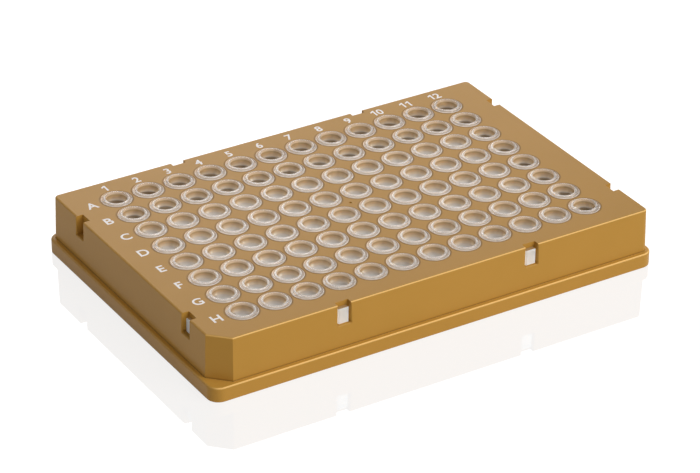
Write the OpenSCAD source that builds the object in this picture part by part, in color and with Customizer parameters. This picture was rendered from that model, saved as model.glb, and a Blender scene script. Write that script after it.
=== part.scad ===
// 96-well PCR plate, low profile, full skirt: a rigid shell with a deck of 96 holes,
// and one thin-walled well moulding whose wells hang through that deck.
//
// Frame: origin at the middle of the footprint on the resting plane, +X from column 1
// to column 12, +Y from row H to row A, +Z up. All sizes in millimetres.

/* [Footprint and height] */
// Length of the base flange, along the twelve columns
plate_l = 127.76; // [125:0.01:160]
// Width of the base flange, along the eight rows
plate_w = 85.48; // [83:0.01:110]
// Height from the resting plane to the top of the well rims
plate_h = 16.06; // [15.8:0.01:24]

/* [Shell] */
// How far the flange's sides stand outside the deck's edge
flange_step = 1.57; // [1.3:0.01:2.4]
// Thickness of the deck
deck_t = 1.4; // [1:0.1:2]
// Thickness of the skirt walls
wall_t = 1.3; // [0.8:0.1:1.6]
// Outward slope of the walls below the deck, in degrees from upright
wall_draft = 1.5; // [0.5:0.1:1.8]
// Corner radius of the upper walls, at the deck
wall_corner_r = 1.3; // [0.8:0.1:3]
// Height of the stepped base flange
flange_h = 3.95; // [2.5:0.05:6]
// Corner radius of the flange, outside
flange_corner_r = 3.18; // [2.5:0.01:6]
// Leg of the bevelled corner that marks well H1
key_leg = 4.7; // [3:0.1:7]
// Rounding of the deck's outer edge
deck_edge_r = 0.4; // [0.2:0.05:0.5]
// Rounding of the flange's upper edge
flange_edge_r = 0.5; // [0.2:0.05:0.6]
// Rounding of the flange's foot
foot_edge_r = 0.25; // [0.1:0.05:0.4]
// Cove between the walls and the flange's upper face
cove_r = 0.1; // [0.1:0.05:0.4]
// Corner radius inside the upper walls
inner_corner_r = 0.6; // [0.3:0.1:1]
// Break of the deck holes' upper edges
hole_break = 0.12; // [0.05:0.01:0.2]
// Diameter of the gate mark in the middle of the deck
gate_d = 0.8; // [0.4:0.1:1.5]
// Depth of the gate mark
gate_depth = 0.3; // [0.1:0.05:0.5]

/* [Well grid] */
// Distance between neighbouring well axes
well_pitch = 9; // [8.8:0.05:9.1]
// Columns of wells
well_cols = 12; // [2:1:12]
// Rows of wells
well_rows = 8; // [2:1:8]

/* [Well] */
// Inside diameter of the mouth
mouth_d = 5.46; // [4.4:0.01:5.7]
// Inside depth, from the rim's top to the bottom
well_depth = 14.81; // [12:0.01:14.9]
// Depth over which the mouth stays a true cylinder
mouth_land = 3.2; // [2:0.1:4]
// Depth at which the barrel ends and the cone begins
barrel_depth = 5.6; // [4.5:0.1:7]
// Narrowing of the barrel's radius between the mouth and the cone
barrel_taper = 0.09; // [0.02:0.01:0.2]
// Inside radius of the rounded bottom
nose_r = 1.3; // [1:0.05:1.6]
// Wall thickness of the barrel
barrel_wall = 0.5; // [0.35:0.05:0.6]
// Wall thickness of the cone and the bottom
cone_wall = 0.35; // [0.25:0.05:0.5]

/* [Rim and collar] */
// Height of the rim above the deck
rim_rise = 0.4; // [0.25:0.05:0.8]
// Width of the raised rim
rim_w = 0.68; // [0.5:0.02:0.8]
// Rounding of the rim's edges
rim_edge_r = 0.2; // [0.1:0.05:0.22]
// Width of the collar that fills the deck hole outside the rim
collar_w = 0.64; // [0.5:0.02:0.7]
// Width of the bead along the collar's outer edge
bead_w = 0.44; // [0.34:0.02:0.46]
// Height of the bead above the deck
bead_rise = 0.16; // [0.05:0.01:0.17]
// Gap round each collar, left by the moulding's shrinkage
bond_gap = 0.03; // [0.02:0.01:0.08]

/* [Web] */
// Thickness of the web that joins the wells under the deck
web_t = 0.7; // [0.5:0.1:1.2]
// Margin of the web outside the outer collars
web_margin = 1; // [0.6:0.1:1.4]

/* [Notches and lugs] */
// Distance of each side notch from the middle of its side
notch_offset = 27; // [20:0.5:30]
// Width of the notches
notch_w = 3.7; // [3.4:0.1:5]
// Height of the notches in the long sides, down from the deck
notch_h_long = 5.65; // [5:0.05:7.5]
// Height of the notches in the short sides, down from the deck
notch_h_short = 5.2; // [5:0.05:7.5]
// Depth of the notches in the long sides
notch_depth_long = 1.6; // [1.4:0.05:2]
// Depth of the notches in the short sides
notch_depth_short = 1.95; // [1.4:0.05:2.4]
// Rounding of the notches' edges on the wall's face
notch_edge_r = 0.2; // [0.1:0.05:0.4]
// Wall behind and below each notch
notch_wall = 0.9; // [0.6:0.1:1.2]
// Width of the lugs that anchor the web in the notches
lug_w = 2.7; // [2:0.1:3.2]
// Gap between the lugs' feet and the notches' floors
lug_foot_gap = 0.2; // [0.1:0.05:0.8]
// How far the lugs in the long sides stand back from the wall's face
lug_recess_long = 0.2; // [0:0.05:0.6]
// How far the lugs in the short sides stand back from the wall's face
lug_recess_short = 0.85; // [0:0.05:0.9]
// Rounding of the lugs' outer edges, at the sides and at the foot
lug_edge_r = 0.25; // [0.1:0.05:0.3]
// Rounding of the lugs' upper outer edge
lug_top_r = 0.4; // [0.2:0.05:0.4]

/* [Hidden] */
$fn = 48;

shell_colour = [0.72, 0.53, 0.26];
clear_colour = [0.90, 0.88, 0.86];
arc_steps = 4;  // chords in a rounded edge
edge_steps = 2; // chords in a notch's rounded edge
nose_steps = 5; // chords in a well's rounded bottom
bead_steps = 6; // chords across a collar's bead
cut_over = 1;   // how far a cutting body runs past the face that it cuts
lap = 0.5;      // how far one body runs into the next that it is fused with

// Shell
lean = tan(wall_draft);
deck_l = plate_l - 2 * flange_step;
deck_w = plate_w - 2 * flange_step;
deck_z = plate_h - rim_rise;
deck_under_z = deck_z - deck_t;
key_distance = (deck_l + deck_w) / 2 - key_leg; // from the middle to the bevel, times the root of 2
key_angle = 225;

// Wells
grid_x = (well_cols - 1) * well_pitch / 2;
grid_y = (well_rows - 1) * well_pitch / 2;
mouth_r = mouth_d / 2;
barrel_r = mouth_r - barrel_taper;
rim_r = mouth_r + rim_w;
collar_r = rim_r + collar_w;
hole_r = collar_r + bond_gap;
land_z = plate_h - mouth_land;
barrel_end_z = plate_h - barrel_depth;
nose_z = plate_h - well_depth + nose_r;

// Web
web_under_z = deck_under_z - web_t;
web_middle_z = deck_under_z - web_t / 2;
web_half_x = grid_x + collar_r + web_margin;
web_half_y = grid_y + collar_r + web_margin;

// Each notch: turn of its side about Z (0 is the front, row H), place along that
// side, whether the side is a long one, and whether a lug stands in the notch.
NOTCHES = concat(
    [for (turn = [0, 180], s = [-1, 1]) [turn, s * notch_offset, true, true]],
    [for (turn = [-90, 90], s = [-1, 1]) [turn, s * notch_offset, false, turn * s < 0]]
);
function notch_depth(n) = n[2] ? notch_depth_long : notch_depth_short;
function notch_floor_z(n) = deck_z - (n[2] ? notch_h_long : notch_h_short);
function lug_recess(n) = n[2] ? lug_recess_long : lug_recess_short;
function half_across(n) = (n[2] ? deck_w : deck_l) / 2;
function web_half(n) = n[2] ? web_half_y : web_half_x;

// ---- Rounded bodies with drafted walls ----

function direction(a) = [cos(a), sin(a)];

// Points on an arc about centre, from angle a0 to a1.
function arc(centre, r, a0, a1, steps) =
    [for (i = [0:steps]) centre + r * direction(a0 + (a1 - a0) * i / steps)];

// Edge of a wall's section, from the foot to the top. The face stands at x = reach at
// the top, z1, and runs out by slope on its way down to z0. A cove joins it to the
// flange's upper side.
function wall_edge(reach, z0, z1, slope, top_r, foot_r, cove) =
    let (
        a = atan(slope),
        foot_x = reach + slope * (z1 - z0),
        top_x = reach + slope * top_r - top_r / cos(a),
        cove_z = flange_h + cove,
        cove_x = reach + slope * (z1 - cove_z) + cove / cos(a)
    )
    concat(
        cove > 0 ? [[cove_x, z0]] :
        foot_r > 0 ? arc([foot_x - foot_r, z0 + foot_r], foot_r, -90, 0, arc_steps) : [[foot_x, z0]],
        cove > 0 ? arc([cove_x, cove_z], cove, 270, 180 + a, arc_steps) : [],
        top_r > 0 ? arc([top_x, z1 - top_r], top_r, a, 90, arc_steps) : [[reach, z1]]
    );

// Section of a whole wall-to-wall body, symmetric about its middle.
function body_section(edge) =
    concat(edge, [for (i = [len(edge) - 1:-1:0]) [-edge[i][0], edge[i][1]]]);

// Rounded rectangular body with drafted walls: half_x, half_y and corner_r are its
// sizes at the top, z1.
module drafted_body(half_x, half_y, corner_r, z0, z1, slope, top_r = 0, foot_r = 0, cove = 0) {
    corner_edge = wall_edge(corner_r, z0, z1, slope, top_r, foot_r, cove);
    rotate([90, 0, 0])
        linear_extrude(height = 2 * (half_y - corner_r), center = true)
            polygon(body_section(wall_edge(half_x, z0, z1, slope, top_r, foot_r, cove)));
    rotate([90, 0, 90])
        linear_extrude(height = 2 * (half_x - corner_r), center = true)
            polygon(body_section(wall_edge(half_y, z0, z1, slope, top_r, foot_r, cove)));
    for (sx = [-1, 1], sy = [-1, 1])
        translate([sx * (half_x - corner_r), sy * (half_y - corner_r), 0])
            rotate_extrude()
                polygon(concat([[0, z0]], corner_edge, [[0, z1]]));
}

// Everything on the plate's side of the H1 bevel, set back by inset and closed at
// the top by z1.
module key_side(inset, z0, z1, slope, top_r = 0, cove = 0) {
    span = plate_l + plate_w;
    edge = wall_edge(key_distance / sqrt(2) - inset, z0, z1, slope, top_r, 0, cove);
    rotate([90, 0, key_angle])
        linear_extrude(height = 2 * span, center = true)
            polygon(concat(edge, [[-span, z1], [-span, z0]]));
}

// ---- Placing ----

// Puts its children at every well axis.
module at_wells() {
    for (col = [0:well_cols - 1], row = [0:well_rows - 1])
        translate([col * well_pitch - grid_x, grid_y - row * well_pitch, 0])
            children();
}

// Puts its children on the wall's face at one notch, with the inside towards +Y.
module at_notch(n) {
    rotate([0, 0, n[0]])
        translate([n[1], -half_across(n), 0])
            children();
}

// ---- Shell ----

module shell_outside() {
    drafted_body(plate_l / 2, plate_w / 2, flange_corner_r, 0, flange_h, 0, flange_edge_r, foot_edge_r);
    intersection() {
        drafted_body(deck_l / 2, deck_w / 2, wall_corner_r, foot_edge_r, deck_z,
                     lean, deck_edge_r, 0, cove_r);
        key_side(0, 0, deck_z, lean, deck_edge_r, cove_r);
    }
}

// Room inside the shell: the lower part steps out with the flange.
module shell_hollow() {
    inset = wall_t - lean * deck_t;
    translate([0, 0, -cut_over])
        drafted_body(plate_l / 2 - wall_t, plate_w / 2 - wall_t, flange_corner_r - wall_t,
                     0, flange_h - wall_t + cut_over, 0);
    intersection() {
        drafted_body(deck_l / 2 - inset, deck_w / 2 - inset, inner_corner_r, 0, deck_under_z, lean);
        key_side(inset, -cut_over, deck_under_z, lean);
    }
}

// Walls that close the inside of a notch, hung from the deck.
module notch_box(n) {
    box_w = notch_w + 2 * notch_wall;
    box_under_z = notch_floor_z(n) - notch_wall;
    at_notch(n)
        translate([-box_w / 2, lap, box_under_z])
            cube([box_w, notch_depth(n) + notch_wall - lap, deck_under_z + lap - box_under_z]);
}

// Rounded edge of a notch at the wall's face: from the point r inside the corner at
// [0, 0], round to a slant that runs on past the face.
function notch_edge() =
    let (slant = arc([-notch_edge_r, notch_edge_r], notch_edge_r, 0, -45, edge_steps))
    concat(slant, [slant[edge_steps] - (cut_over + slant[edge_steps][1]) * [1, 1]]);

// Plan of a notch, open towards the wall's face.
function notch_plan(n) =
    let (half = notch_w / 2, edge = notch_edge())
    concat(
        [[-half, notch_depth(n)]],
        [for (p = edge) [p[0] - half, p[1]]],
        [for (i = [len(edge) - 1:-1:0]) [half - edge[i][0], edge[i][1]]],
        [[half, notch_depth(n)]]
    );

module notch_cut(n) {
    floor_z = notch_floor_z(n);
    at_notch(n) {
        translate([0, 0, floor_z])
            linear_extrude(height = deck_z - floor_z + cut_over)
                polygon(notch_plan(n));
        rotate([90, 0, 90])
            linear_extrude(height = notch_w, center = true)
                polygon(concat(
                    [for (p = notch_edge()) [p[1], floor_z + p[0]]],
                    [[-cut_over, floor_z + lap], [notch_edge_r, floor_z + lap]]
                ));
    }
}

// Slot under the deck through which a lug's strap passes.
module strap_slot(n) {
    slot_w = lug_w + 2 * bond_gap;
    at_notch(n)
        translate([-slot_w / 2, notch_depth(n) - cut_over, web_under_z - bond_gap])
            cube([slot_w, notch_wall + 2 * cut_over, web_t + bond_gap]);
}

// Hole through the deck for one collar, with its upper edge broken.
module deck_hole() {
    translate([0, 0, deck_under_z - cut_over])
        cylinder(h = deck_t + 2 * cut_over, r = hole_r);
    translate([0, 0, deck_z - hole_break])
        cylinder(h = 2 * hole_break, r1 = hole_r, r2 = hole_r + 2 * hole_break);
}

module gate_mark() {
    translate([0, 0, deck_z - gate_depth])
        cylinder(h = gate_depth + cut_over, d = gate_d);
}

module shell() {
    color(shell_colour)
        difference() {
            union() {
                difference() {
                    shell_outside();
                    shell_hollow();
                }
                for (n = NOTCHES) notch_box(n);
            }
            for (n = NOTCHES) notch_cut(n);
            for (n = NOTCHES) if (n[3]) strap_slot(n);
            at_wells() deck_hole();
            gate_mark();
        }
}

// ---- Well moulding ----

// Angle, below level, at which a cone that runs down from top_r at the barrel's end
// meets a round nose as a tangent.
function nose_angle(top_r, r) =
    let (drop = barrel_end_z - nose_z)
    atan(top_r / drop) - asin(r / norm([top_r, drop]));

// Section of one well: inside from the nose up to the mouth, over the rim, the collar
// and its bead, and down the outside.
function well_section() =
    let (
        outer_r = mouth_r + barrel_wall,
        outer_nose_r = nose_r + cone_wall,
        edge_z = plate_h - rim_edge_r,
        bead_r = (bead_w * bead_w / 4 + bead_rise * bead_rise) / (2 * bead_rise),
        bead_a = asin(bead_w / 2 / bead_r),
        bead_axis = [collar_r - bead_w / 2, deck_z + bead_rise - bead_r]
    )
    concat(
        arc([0, nose_z], nose_r, -90, -nose_angle(barrel_r, nose_r), nose_steps),
        [[barrel_r, barrel_end_z], [mouth_r, land_z]],
        arc([mouth_r + rim_edge_r, edge_z], rim_edge_r, 180, 90, arc_steps / 2),
        arc([rim_r - rim_edge_r, edge_z], rim_edge_r, 90, 0, arc_steps / 2),
        [[rim_r, deck_z]],
        arc(bead_axis, bead_r, 90 + bead_a, 90 - bead_a, bead_steps),
        [[collar_r, web_middle_z], [outer_r, web_middle_z], [outer_r, land_z],
         [barrel_r + barrel_wall, barrel_end_z]],
        arc([0, nose_z], outer_nose_r, -nose_angle(barrel_r + barrel_wall, outer_nose_r), -90, nose_steps)
    );

module well() {
    rotate_extrude()
        polygon(well_section());
}

// Sheet under the deck that joins the wells, open where each well passes.
module web() {
    translate([0, 0, web_under_z])
        linear_extrude(height = web_t)
            difference() {
                square([2 * web_half_x, 2 * web_half_y], center = true);
                at_wells()
                    circle(r = mouth_r + barrel_wall / 2);
            }
}

// Strap from the web through the notch's wall, and the lug that it carries.
module lug(n) {
    front = lug_recess(n);
    rear = notch_depth(n) - bond_gap;
    foot_z = notch_floor_z(n) + lug_foot_gap;
    top_axis = [front + lug_top_r, deck_under_z - lug_top_r];
    foot_axis = [front + lug_edge_r, foot_z + lug_edge_r];
    at_notch(n) {
        translate([-lug_w / 2, rear - lap, web_under_z])
            cube([lug_w, half_across(n) - web_half(n) - rear + 2 * lap, web_t]);
        intersection() {
            rotate([90, 0, 90])
                linear_extrude(height = lug_w, center = true)
                    polygon(concat(
                        arc(top_axis, lug_top_r, 90, 180, arc_steps),
                        arc(foot_axis, lug_edge_r, 180, 270, arc_steps),
                        [[rear, foot_z], [rear, deck_under_z]]
                    ));
            translate([0, 0, foot_z - lap])
                linear_extrude(height = deck_under_z - foot_z + 2 * lap)
                    polygon(lug_plan(front, rear + lap));
        }
    }
}

// Plan of a lug, with its two outer corners rounded.
function lug_plan(front, rear) =
    let (r = lug_edge_r, half = lug_w / 2)
    concat(
        arc([r - half, front + r], r, 180, 270, arc_steps),
        arc([half - r, front + r], r, -90, 0, arc_steps),
        [[half, rear], [-half, rear]]
    );

module well_moulding() {
    color(clear_colour) {
        web();
        at_wells() well();
        for (n = NOTCHES) if (n[3]) lug(n);
    }
}

shell();
well_moulding();
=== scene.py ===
"""Looks of a low-profile 96-well PCR plate: an ochre shell round a clear well moulding.

All lengths are in metres, in the plate's own frame: origin at the middle of the
footprint, +X from column 1 to column 12, +Y from row H to row A, +Z up.
"""

import math

import bmesh
import bpy
from mathutils import Matrix, Vector


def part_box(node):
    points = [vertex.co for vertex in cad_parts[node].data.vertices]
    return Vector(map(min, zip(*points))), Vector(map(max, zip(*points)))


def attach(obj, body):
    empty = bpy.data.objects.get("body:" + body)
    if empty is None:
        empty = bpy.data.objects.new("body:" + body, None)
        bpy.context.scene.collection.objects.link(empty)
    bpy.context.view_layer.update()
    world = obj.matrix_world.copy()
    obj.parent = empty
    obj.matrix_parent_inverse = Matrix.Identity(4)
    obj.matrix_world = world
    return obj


MM = 0.001

# ---- The plate ----
WELL_PITCH = 9.0 * MM
COLUMNS = 12
ROW_LETTERS = "ABCDEFGH"
WELL_COUNTS = (COLUMNS, len(ROW_LETTERS))
RIM_RISE = 0.4 * MM
DECK_THICKNESS = 1.4 * MM
DECK_EDGE_RADIUS = 0.4 * MM
FLANGE_HEIGHT = 3.95 * MM
FLANGE_EDGE_RADIUS = 0.5 * MM
SKIN = 0.01 * MM  # margin that keeps a face on its side of a height test

# ---- Shell's looks ----
OCHRE_DRIFT = ((0.3, (0.45, 0.234, 0.04)), (0.7, (0.47, 0.244, 0.044)))
# Painted light on the flange's upward step
STEP_LIGHT_COLOUR = (0.56, 0.297, 0.054)
# Painted shade in the corner over the flange's step
CORNER_SHADE_COLOUR = (0.3, 0.155, 0.028)
# Painted highlight on the rounded edges of the deck and the flange
EDGE_HIGHLIGHT_COLOUR = (0.95, 0.6, 0.21)
# Painted shade on the deck close round each ring
RING_SHADE_COLOUR = (0.28, 0.145, 0.027)
# Heights over the flange between which the painted shade in the corner fades out
CORNER_FADE = (0.15 * MM, 0.45 * MM)
# Distances from a well's axis between which the painted shade round its ring fades out
RING_SHADE_FADE = (4.3 * MM, 4.6 * MM)
# Upward parts of the normal between which the painted highlight on a rounded edge sets in, and
# between which it fades out towards the flat
EDGE_SETS_IN = (0.45, 0.65)
EDGE_FADES_OUT = (0.86, 0.94)
EDGE_SHARE_SHORT = 0.2  # strength of that line on the short sides
# How much more the normal faces a long side than a short one, while the line goes from
# that strength to its full one
EDGE_LEAN = (-0.2, 0.3)
DRIFT_SCALE = 60.0
GRAIN_SCALE = 6000.0
GRAIN_HEIGHT = 0.02 * MM
GRAIN_STRENGTH = 0.25
GRAIN_ROUGHNESS = (0.28, 0.38)

# ---- Moulding's looks ----
CLEAR_COLOUR = (0.99, 0.97, 0.94, 1.0)
BACK_COLOUR = (0.92, 0.89, 0.87)
# Painted shade on the band of the outer barrels that faces the empty space by the walls
GAP_SHADE_COLOUR = (0.42, 0.34, 0.25)
LUG_COLOUR = (0.93, 0.96, 0.97)
LUG_SHARE = (0.9, 0.9, 0.9)
BOND_COLOUR = (0.45, 0.29, 0.13, 1.0)
SHADOW_COLOUR = (0.93, 0.92, 0.9, 1.0)
# Share of the haze by height in millimetres, and its colour: the deck's ochre seen through the
# wall, bright low down as painted light and dark near the deck's top as painted shade
WELL_SHARES = ((13.6, 0.7), (14.1, 0.55), (15.64, 0.55))
WELL_COLOURS = (
    (12.5, (0.91, 0.96, 1.0)), (13.2, (0.96, 0.95, 0.96)), (13.8, (0.8, 0.71, 0.6)),
    (14.2, (0.95, 0.74, 0.46)), (14.8, (0.64, 0.47, 0.28)), (15.3, (0.42, 0.32, 0.2)),
    (15.6, (0.4, 0.33, 0.22)), (15.64, (0.97, 0.85, 0.74)))
# The same on the rings, by millimetres from the well's axis: rim, valley and bead, with painted
# highlights on the rim and the bead and painted shade in the valley between them
RING_SHARES = (
    (2.95, 0.35), (3.1, 0.24), (3.34, 0.24), (3.42, 0.5),
    (3.56, 0.5), (3.64, 0.3), (3.8, 0.3), (3.93, 0.8))
RING_HIGHLIGHT_AND_SHADE_COLOURS = (
    (3.34, (0.97, 0.85, 0.74)), (3.42, (0.55, 0.44, 0.36)),
    (3.56, (0.55, 0.44, 0.36)), (3.64, (1.0, 0.91, 0.82)))
RING_SPAN = 4.2 * MM  # distance from the axis that the rings' ramps cover
RING_Z = 15.64 * MM  # the rims, the beads and the valleys between them lie above this
BARREL_REACH = 3.3 * MM  # distance from the axis that holds the whole barrel
BOND_RADIUS = 3.98 * MM  # the collars' sides, and the web outside them, lie beyond this
GAP_X = 45 * MM  # the outermost columns lie beyond this
GAP_Y = 18 * MM  # the two outermost rows on each side lie beyond this
GAP_BLEND = 1 * MM  # width over which the shade grows, outwards from a well's axis
# Heights between which the shade on the outer barrels sets in, and fades out
GAP_SETS_IN = (12.3 * MM, 12.7 * MM)
GAP_FADES_OUT = (13.7 * MM, 14.0 * MM)
HAZE_MATT_SHARE = 0.4  # share of the haze that scatters back

# ---- Index characters ----
NUMERAL_HEIGHT = 2.7 * MM
NUMERAL_Y = 37.8 * MM
LETTER_HEIGHT = 3.0 * MM
LETTER_X = -56.5 * MM
INK_THICKNESS = 0.02 * MM
# Widening of the strokes, as a share of the font's size. The outlines of the built-in
# font close cleanly at this value.
GLYPH_SPREAD = 0.019
DIGIT_PITCH = 1.85 * MM
INK_COAT_SCALE = 9000.0
INK_COAT = ((0.3, (0.88, 0.83, 0.79)), (0.7, (0.95, 0.9, 0.87)))
# A numeral one with a flag, as shares of its height
ONE_OUTLINE = (
    (0.02, 0.0), (0.2, 0.0), (0.2, 1.0), (0.06, 1.0),
    (-0.24, 0.8), (-0.24, 0.6), (0.02, 0.75))

# ---- Camera ----
CAMERA_AT = Vector((-0.3710, -0.5941, 0.4083))
CAMERA_LOOKS_AT = Vector((-0.00197, -0.00318, 0.0080))
CAMERA_ROLL = math.radians(0.63)
CAMERA_LENS = 164.6
SENSOR_WIDTH = 36.0

# ---- Surroundings ----
WORLD_LEVEL = 0.31
FLOOR_SIZE = 6.0
FLOOR_MIRROR = 0.14
FLOOR_SHADE = 0.1
FLOOR_WHITE = 1.06


# ---- Nodes ----


def new_material(name):
    """A material with an empty node tree and its output node."""
    material = bpy.data.materials.new(name)
    material.use_nodes = True
    tree = material.node_tree
    tree.nodes.clear()
    return material, tree, tree.nodes.new("ShaderNodeOutputMaterial")


def simple_shader(tree, kind, **sockets):
    """Output of a shader of that kind, with plain values set on its own sockets."""
    shader = tree.nodes.new(kind)
    for name, value in sockets.items():
        shader.inputs[name.replace("_", " ")].default_value = value
    return shader.outputs[0]


def principled(tree, **sockets):
    """A Principled shader with plain values set on its own sockets."""
    return simple_shader(tree, "ShaderNodeBsdfPrincipled", **sockets).node


def object_axes(tree):
    """Object-space X, Y and Z."""
    place = tree.nodes.new("ShaderNodeTexCoord")
    axes = tree.nodes.new("ShaderNodeSeparateXYZ")
    tree.links.new(place.outputs["Object"], axes.inputs["Vector"])
    return axes.outputs["X"], axes.outputs["Y"], axes.outputs["Z"]


def object_normal(tree):
    """X, Y and Z of the object-space normal."""
    place = tree.nodes.new("ShaderNodeTexCoord")
    facing = tree.nodes.new("ShaderNodeSeparateXYZ")
    tree.links.new(place.outputs["Normal"], facing.inputs["Vector"])
    return facing.outputs["X"], facing.outputs["Y"], facing.outputs["Z"]


def object_noise(tree, scale, detail=2.0):
    """Noise fixed to the object, scale in repeats per metre."""
    place = tree.nodes.new("ShaderNodeTexCoord")
    noise = tree.nodes.new("ShaderNodeTexNoise")
    noise.inputs["Scale"].default_value = scale
    noise.inputs["Detail"].default_value = detail
    tree.links.new(place.outputs["Object"], noise.inputs["Vector"])
    return noise.outputs["Fac"]


def ramp(tree, source, stops):
    """A colour ramp over source, from (position, colour or grey level) stops."""
    node = tree.nodes.new("ShaderNodeValToRGB")
    elements = node.color_ramp.elements
    while len(elements) < len(stops):
        elements.new(0.5)
    for element, (position, colour) in zip(elements, stops):
        element.position = position
        grey = not isinstance(colour, tuple)
        element.color = (colour, colour, colour, 1.0) if grey else (*colour, 1.0)
    tree.links.new(source, node.inputs["Fac"])
    return node.outputs["Color"]


def map_range(tree, source, low, high, start=0.0, end=1.0):
    """A value from low to high as source goes from start to end."""
    node = tree.nodes.new("ShaderNodeMapRange")
    node.inputs["From Min"].default_value = start
    node.inputs["From Max"].default_value = end
    node.inputs["To Min"].default_value = low
    node.inputs["To Max"].default_value = high
    tree.links.new(source, node.inputs["Value"])
    return node.outputs["Result"]


def fade_in(tree, source, start, end):
    """0 up to start, 1 from end on."""
    return map_range(tree, source, 0.0, 1.0, start, end)


def fade_out(tree, source, start, end):
    """1 up to start, 0 from end on."""
    return map_range(tree, source, 1.0, 0.0, start, end)


def math_node(tree, operation, *values):
    """Output of a Math node; each value is a number or another node's output."""
    node = tree.nodes.new("ShaderNodeMath")
    node.operation = operation
    for i, value in enumerate(values):
        if isinstance(value, (int, float)):
            node.inputs[i].default_value = value
        else:
            tree.links.new(value, node.inputs[i])
    return node.outputs["Value"]


def product(tree, first, *others):
    """Product of several outputs."""
    for other in others:
        first = math_node(tree, "MULTIPLY", first, other)
    return first


def between(tree, source, low, high):
    """1 where source lies between low and high, else 0."""
    over = math_node(tree, "GREATER_THAN", source, low)
    under = math_node(tree, "LESS_THAN", source, high)
    return math_node(tree, "MULTIPLY", over, under)


def mix_shaders(tree, share, first, second):
    """Mix of two shaders; share is a number or an output."""
    node = tree.nodes.new("ShaderNodeMixShader")
    if isinstance(share, (int, float)):
        node.inputs["Fac"].default_value = share
    else:
        tree.links.new(share, node.inputs["Fac"])
    tree.links.new(first, node.inputs[1])
    tree.links.new(second, node.inputs[2])
    return node.outputs["Shader"]


def mix_colours(tree, share, first, second):
    """Mix of two colours, each an output or a plain value."""
    node = tree.nodes.new("ShaderNodeMix")
    node.data_type = "RGBA"
    tree.links.new(share, node.inputs["Factor"])
    for socket, value in ((node.inputs[6], first), (node.inputs[7], second)):
        if isinstance(value, tuple):
            socket.default_value = (*value, 1.0)
        else:
            tree.links.new(value, socket)
    return node.outputs[2]


def bump(tree, source, distance, strength):
    """Normal of a bump of that height over source."""
    node = tree.nodes.new("ShaderNodeBump")
    node.inputs["Distance"].default_value = distance
    node.inputs["Strength"].default_value = strength
    tree.links.new(source, node.inputs["Height"])
    return node.outputs["Normal"]


# ---- Zones of the plate ----


def beyond_wells(tree, x, y):
    """1 outside the square cells of the well array, else 0."""
    sides = []
    for place, count in zip((x, y), WELL_COUNTS):
        distance = math_node(tree, "ABSOLUTE", place)
        sides.append(math_node(tree, "GREATER_THAN", distance, count * WELL_PITCH / 2))
    return math_node(tree, "MAXIMUM", *sides)


def from_well_axis(tree, x, y):
    """Distance in metres from the nearest well's axis."""
    squares = []
    for place, count in zip((x, y), WELL_COUNTS):
        shifted = math_node(tree, "ADD", place, count * WELL_PITCH / 2)
        cell = math_node(tree, "MODULO", shifted, WELL_PITCH)
        offset = math_node(tree, "SUBTRACT", cell, WELL_PITCH / 2)
        squares.append(math_node(tree, "MULTIPLY", offset, offset))
    return math_node(tree, "SQRT", math_node(tree, "ADD", *squares))


def outward_side(tree, place, limit):
    """1 on the outward side of the wells that lie beyond limit along one axis, else 0."""
    distance = math_node(tree, "ABSOLUTE", place)
    cell = math_node(tree, "MODULO", distance, WELL_PITCH)
    half = WELL_PITCH / 2
    side = fade_in(tree, cell, half, half + GAP_BLEND)
    beyond = math_node(tree, "GREATER_THAN", distance, limit)
    return math_node(tree, "MULTIPLY", side, beyond)


def edge_highlight_strength(tree, x, y, z, edges):
    """Strength of the painted highlight on the rounded edges that come down from each
    (height, radius): 1 on the long sides, weak on the short ones, 0 elsewhere."""
    facing_x, facing_y, facing_up = object_normal(tree)
    steep = fade_in(tree, facing_up, *EDGE_SETS_IN)
    flat = fade_out(tree, facing_up, *EDGE_FADES_OUT)
    outside = beyond_wells(tree, x, y)
    along = math_node(tree, "ABSOLUTE", facing_y)
    across = math_node(tree, "ABSOLUTE", facing_x)
    lean = math_node(tree, "SUBTRACT", along, across)
    long_side = map_range(tree, lean, EDGE_SHARE_SHORT, 1.0, *EDGE_LEAN)
    bands = [between(tree, z, top - radius, top + SKIN) for top, radius in edges]
    return product(tree, steep, flat, outside, long_side, math_node(tree, "MAXIMUM", *bands))


# ---- Materials ----


def shell_tone(tree, deck_z):
    """Colour of the shell: slow drifts of ochre, with painted light on the flange's step, a
    painted highlight on the rounded edges, and painted shade in the corner over the step and close
    round the rings."""
    x, y, z = object_axes(tree)
    ochre = ramp(tree, object_noise(tree, DRIFT_SCALE), OCHRE_DRIFT)
    # painted light on the flange's step
    step = between(tree, z, FLANGE_HEIGHT - 5 * SKIN, FLANGE_HEIGHT + SKIN)
    stepped = mix_colours(tree, step, ochre, STEP_LIGHT_COLOUR)
    over_step = math_node(tree, "GREATER_THAN", z, FLANGE_HEIGHT + SKIN)
    low = fade_out(tree, z, *(FLANGE_HEIGHT + rise for rise in CORNER_FADE))
    # painted shade in the corner over the step
    corner = math_node(tree, "MULTIPLY", over_step, low)
    cornered = mix_colours(tree, corner, stepped, CORNER_SHADE_COLOUR)
    # painted highlight on the rounded edges
    edges = ((deck_z, DECK_EDGE_RADIUS), (FLANGE_HEIGHT, FLANGE_EDGE_RADIUS))
    edge = edge_highlight_strength(tree, x, y, z, edges)
    edged = mix_colours(tree, edge, cornered, EDGE_HIGHLIGHT_COLOUR)
    # painted shade on the deck close round each ring
    close = fade_out(tree, from_well_axis(tree, x, y), *RING_SHADE_FADE)
    on_deck = math_node(tree, "GREATER_THAN", z, deck_z - 5 * SKIN)
    inside = math_node(tree, "SUBTRACT", 1.0, beyond_wells(tree, x, y))
    round_rings = product(tree, close, on_deck, inside)
    return mix_colours(tree, round_rings, edged, RING_SHADE_COLOUR)


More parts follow.
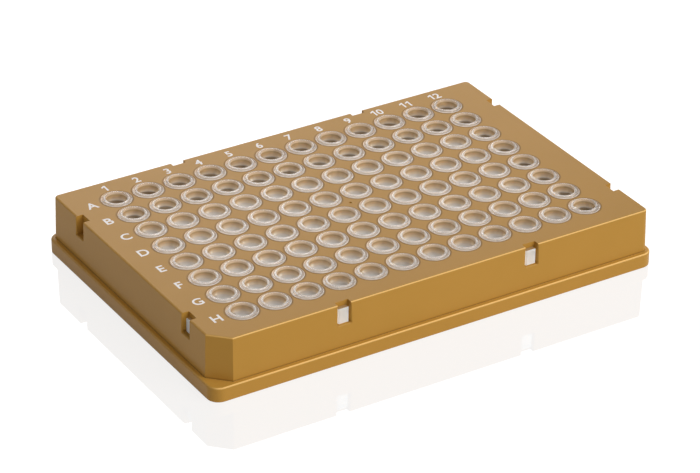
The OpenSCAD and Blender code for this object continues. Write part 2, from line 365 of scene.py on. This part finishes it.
def shell_plastic(deck_z):
    """Satin ochre plastic with a fine spark-eroded grain."""
    material, tree, output = new_material("shell_plastic")
    shader = principled(tree, Roughness=0.4, IOR=1.5, Specular_IOR_Level=0.11)
    tree.links.new(shell_tone(tree, deck_z), shader.inputs["Base Color"])
    grain = object_noise(tree, GRAIN_SCALE, detail=3.0)
    tree.links.new(map_range(tree, grain, *GRAIN_ROUGHNESS), shader.inputs["Roughness"])
    tree.links.new(bump(tree, grain, GRAIN_HEIGHT, GRAIN_STRENGTH), shader.inputs["Normal"])
    tree.links.new(shader.outputs["BSDF"], output.inputs["Surface"])
    return material


def haze_ramps(tree, source, span, colours, shares):
    """Colour and share of the haze over source, with the stops given in millimetres."""
    level = map_range(tree, source, 0.0, 1.0, 0.0, span)
    tone, share = (
        ramp(tree, level, [(place * MM / span, value) for place, value in stops])
        for stops in (colours, shares))
    return tone, share


def shaded_gap(tree, x, y, z, from_axis):
    """1 on the band of the outer barrels that faces the empty space by the walls, where shade is
    painted.
    """
    outer = math_node(tree, "MAXIMUM", outward_side(tree, x, GAP_X), outward_side(tree, y, GAP_Y))
    in_well = math_node(tree, "LESS_THAN", from_axis, BARREL_REACH)
    under = fade_out(tree, z, *GAP_FADES_OUT)
    over = fade_in(tree, z, *GAP_SETS_IN)
    return product(tree, outer, in_well, product(tree, under, over))


def bonded_faces(tree, z, from_axis, deck_z):
    """1 on the faces that are bonded to the deck, else 0."""
    far = math_node(tree, "GREATER_THAN", from_axis, BOND_RADIUS)
    low = math_node(tree, "LESS_THAN", z, deck_z - SKIN)
    high = math_node(tree, "GREATER_THAN", z, deck_z - DECK_THICKNESS - SKIN)
    return product(tree, far, low, high)


def haze(tree, x, y, z, from_axis, top):
    """Milky haze of the moulding, whose colour carries painted light and shade, and its share over
    the clear plastic.
    """
    well_tone, well_share = haze_ramps(tree, z, top, WELL_COLOURS, WELL_SHARES)
    ring_tone, ring_share = haze_ramps(tree, from_axis, RING_SPAN, RING_HIGHLIGHT_AND_SHADE_COLOURS, RING_SHARES)
    on_top = math_node(tree, "GREATER_THAN", z, RING_Z)
    lug = beyond_wells(tree, x, y)
    side = tree.nodes.new("ShaderNodeNewGeometry")
    front = mix_colours(tree, on_top, well_tone, ring_tone)
    both_sides = mix_colours(tree, side.outputs["Backfacing"], front, BACK_COLOUR)
    gap = shaded_gap(tree, x, y, z, from_axis)
    shaded = mix_colours(tree, gap, both_sides, GAP_SHADE_COLOUR)
    tone = mix_colours(tree, lug, shaded, LUG_COLOUR)
    share = mix_colours(tree, on_top, well_share, ring_share)
    milk = tree.nodes.new("ShaderNodeBsdfTranslucent")
    matt = tree.nodes.new("ShaderNodeBsdfDiffuse")
    for shader in (milk, matt):
        tree.links.new(tone, shader.inputs["Color"])
    milky = mix_shaders(tree, HAZE_MATT_SHARE, milk.outputs["BSDF"], matt.outputs["BSDF"])
    return milky, mix_colours(tree, lug, share, LUG_SHARE)


def moulding_plastic(deck_z):
    """Natural polypropylene: clear with a milky haze, which takes the shell's ochre where the deck
    stands round it and carries painted light and shade in the wells, on the rings and on the outer
    barrels, and the shell's own ochre on the faces that are bonded to the deck."""
    material, tree, output = new_material("moulding_plastic")
    x, y, z = object_axes(tree)
    from_axis = from_well_axis(tree, x, y)
    clear = simple_shader(
        tree, "ShaderNodeBsdfPrincipled", Roughness=0.08, IOR=1.49,
        Base_Color=CLEAR_COLOUR, Transmission_Weight=1.0)
    milky, share = haze(tree, x, y, z, from_axis, deck_z + RIM_RISE)
    body = mix_shaders(tree, share, clear, milky)
    ochre = simple_shader(tree, "ShaderNodeBsdfDiffuse", Color=BOND_COLOUR)
    surface = mix_shaders(tree, bonded_faces(tree, z, from_axis, deck_z), body, ochre)
    path = tree.nodes.new("ShaderNodeLightPath")
    through = simple_shader(tree, "ShaderNodeBsdfTransparent", Color=SHADOW_COLOUR)
    lit = mix_shaders(tree, path.outputs["Is Shadow Ray"], surface, through)
    tree.links.new(lit, output.inputs["Surface"])
    return material


def index_ink():
    """White pad-printed ink."""
    material, tree, output = new_material("index_ink")
    shader = principled(tree, Roughness=0.5, IOR=1.5)
    coat = ramp(tree, object_noise(tree, INK_COAT_SCALE), INK_COAT)
    tree.links.new(coat, shader.inputs["Base Color"])
    tree.links.new(shader.outputs["BSDF"], output.inputs["Surface"])
    return material


# ---- Pieces ----


def glyph_mesh(character, height):
    """The built-in font's character as a mesh, scaled to that height, with its middle on
    the Z axis and lying on z = 0."""
    curve = bpy.data.curves.new("glyph", "FONT")
    curve.body = character
    curve.extrude = INK_THICKNESS / 2
    curve.offset = GLYPH_SPREAD
    carrier = bpy.data.objects.new("glyph", curve)
    bpy.context.scene.collection.objects.link(carrier)
    bpy.context.view_layer.update()
    depsgraph = bpy.context.evaluated_depsgraph_get()
    mesh = bpy.data.meshes.new_from_object(carrier.evaluated_get(depsgraph))
    bpy.data.objects.remove(carrier)
    bpy.data.curves.remove(curve)
    xs = [v.co.x for v in mesh.vertices]
    ys = [v.co.y for v in mesh.vertices]
    scale = height / (max(ys) - min(ys))
    middle = Vector(((max(xs) + min(xs)) / 2, (max(ys) + min(ys)) / 2, 0.0))
    mesh.transform(Matrix.Diagonal((scale, scale, 1.0, 1.0)) @ Matrix.Translation(-middle))
    mesh.transform(Matrix.Translation((0.0, 0.0, INK_THICKNESS / 2)))
    return mesh


def one_mesh(height):
    """A flat numeral one with a flag, with its foot and top that height apart, on z = 0."""
    mesh = bpy.data.meshes.new("one")
    points = [(x * height, (y - 0.5) * height) for x, y in ONE_OUTLINE]
    count = len(points)
    corners = [(x, y, z) for z in (0.0, INK_THICKNESS) for x, y in points]
    under = tuple(range(count - 1, -1, -1))
    upper = tuple(range(count, 2 * count))
    sides = [(i, (i + 1) % count, (i + 1) % count + count, i + count) for i in range(count)]
    mesh.from_pydata(corners, [], [under, upper, *sides])
    return mesh


def printed_characters(name, placed, height, deck_z, material):
    """One piece of thin printed characters, from (character, x, y)."""
    joined = bmesh.new()
    for character, x, y in placed:
        mesh = one_mesh(height) if character == "1" else glyph_mesh(character, height)
        mesh.transform(Matrix.Translation((x, y, deck_z)))
        joined.from_mesh(mesh)
        bpy.data.meshes.remove(mesh)
    mesh = bpy.data.meshes.new(name)
    joined.to_mesh(mesh)
    joined.free()
    mesh.materials.append(material)
    piece = bpy.data.objects.new(name, mesh)
    bpy.context.scene.collection.objects.link(piece)
    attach(piece, "root")


def index_characters(deck_z):
    """Numerals 1 to 12 along row A and letters A to H along column 1."""
    ink = index_ink()
    half_length, half_width = ((count - 1) * WELL_PITCH / 2 for count in WELL_COUNTS)
    numerals = []
    for i in range(COLUMNS):
        number = str(i + 1)
        first = i * WELL_PITCH - half_length - (len(number) - 1) * DIGIT_PITCH / 2
        numerals += [(digit, first + k * DIGIT_PITCH, NUMERAL_Y) for k, digit in enumerate(number)]
    letters = [(c, LETTER_X, half_width - i * WELL_PITCH) for i, c in enumerate(ROW_LETTERS)]
    printed_characters("column_numerals", numerals, NUMERAL_HEIGHT, deck_z, ink)
    printed_characters("row_letters", letters, LETTER_HEIGHT, deck_z, ink)


def finish_node(node, material):
    """Gives a CAD node its material."""
    node.data.materials.clear()
    node.data.materials.append(material)


# ---- Surroundings ----


def see_or_light(tree, seen, lit):
    """Shader seen by camera, mirror and glass rays, and lit for all others."""
    path = tree.nodes.new("ShaderNodeLightPath")
    camera, glossy, glass = (
        path.outputs[kind] for kind in ("Is Camera Ray", "Is Glossy Ray", "Is Transmission Ray"))
    looks = math_node(tree, "MAXIMUM", math_node(tree, "MAXIMUM", camera, glossy), glass)
    return mix_shaders(tree, looks, lit, seen)


def floor_surface():
    """Polished white floor: white to the eye, with a weak mirror image and a weak shadow."""
    material, tree, output = new_material("floor_surface")
    matt = simple_shader(tree, "ShaderNodeBsdfDiffuse", Color=(0.9, 0.9, 0.9, 1.0))
    white = simple_shader(tree, "ShaderNodeEmission", Strength=FLOOR_WHITE)
    mirror = simple_shader(
        tree, "ShaderNodeBsdfGlossy", Roughness=0.02, Color=(1.0, 1.0, 1.0, 1.0))
    shaded = mix_shaders(tree, FLOOR_SHADE, white, matt)
    polished = mix_shaders(tree, FLOOR_MIRROR, shaded, mirror)
    tree.links.new(see_or_light(tree, polished, matt), output.inputs["Surface"])
    return material


def make_floor():
    """A wide square floor at z = 0."""
    mesh = bpy.data.meshes.new("floor")
    half = FLOOR_SIZE / 2
    corners = [(-half, -half, 0.0), (half, -half, 0.0), (half, half, 0.0), (-half, half, 0.0)]
    mesh.from_pydata(corners, [], [(0, 1, 2, 3)])
    mesh.materials.append(floor_surface())
    floor = bpy.data.objects.new("floor", mesh)
    bpy.context.scene.collection.objects.link(floor)


def make_world():
    """White all round to the eye, and a plain soft light for the rest."""
    world = bpy.data.worlds.new("studio")
    world.use_nodes = True
    tree = world.node_tree
    tree.nodes.clear()
    output = tree.nodes.new("ShaderNodeOutputWorld")
    white = (1.0, 1.0, 1.0, 1.0)
    seen = simple_shader(tree, "ShaderNodeBackground", Color=white, Strength=1.0)
    lit = simple_shader(tree, "ShaderNodeBackground", Color=white, Strength=WORLD_LEVEL)
    tree.links.new(see_or_light(tree, seen, lit), output.inputs["Surface"])
    bpy.context.scene.world = world


def soft_light(name, place, size, power):
    """A square area lamp that faces the plate."""
    lamp = bpy.data.lights.new(name, "AREA")
    lamp.shape = "SQUARE"
    lamp.size = size
    lamp.energy = power
    obj = bpy.data.objects.new(name, lamp)
    obj.location = place
    obj.rotation_euler = (-Vector(place)).to_track_quat("-Z", "Y").to_euler()
    bpy.context.scene.collection.objects.link(obj)


def make_lights():
    """A key light from the front right, and two weak lights behind for the deck's sheen."""
    soft_light("key_light", place=(0.8, -1.4, 1.1), size=1.75, power=31.8)
    soft_light("sheen_light", place=(0.22, 0.4, 0.18), size=0.3, power=0.42)
    soft_light("deck_light", place=(0.09, 0.31, 0.19), size=0.15, power=0.08)


def make_camera():
    """A camera with a long lens, above the plate's front left."""
    data = bpy.data.cameras.new("camera")
    data.sensor_width = SENSOR_WIDTH
    data.lens = CAMERA_LENS
    camera = bpy.data.objects.new("camera", data)
    aim = (CAMERA_LOOKS_AT - CAMERA_AT).to_track_quat("-Z", "Y").to_matrix().to_4x4()
    roll = Matrix.Rotation(CAMERA_ROLL, 4, "Z")
    camera.matrix_world = Matrix.Translation(CAMERA_AT) @ aim @ roll
    bpy.context.scene.collection.objects.link(camera)
    bpy.context.scene.camera = camera


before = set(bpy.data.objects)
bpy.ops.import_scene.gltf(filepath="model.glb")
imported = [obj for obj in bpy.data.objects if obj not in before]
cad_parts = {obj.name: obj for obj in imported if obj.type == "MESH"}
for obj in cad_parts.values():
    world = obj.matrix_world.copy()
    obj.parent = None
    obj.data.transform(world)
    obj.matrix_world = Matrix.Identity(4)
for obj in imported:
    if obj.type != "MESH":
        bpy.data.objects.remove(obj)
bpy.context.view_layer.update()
bpy.context.scene.view_settings.view_transform = "Standard"

make_camera()
make_world()
make_lights()
make_floor()

deck_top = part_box("shell")[1].z
finish_node(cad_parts["shell"], shell_plastic(deck_top))
finish_node(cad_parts["well_moulding"], moulding_plastic(deck_top))
index_characters(deck_top)
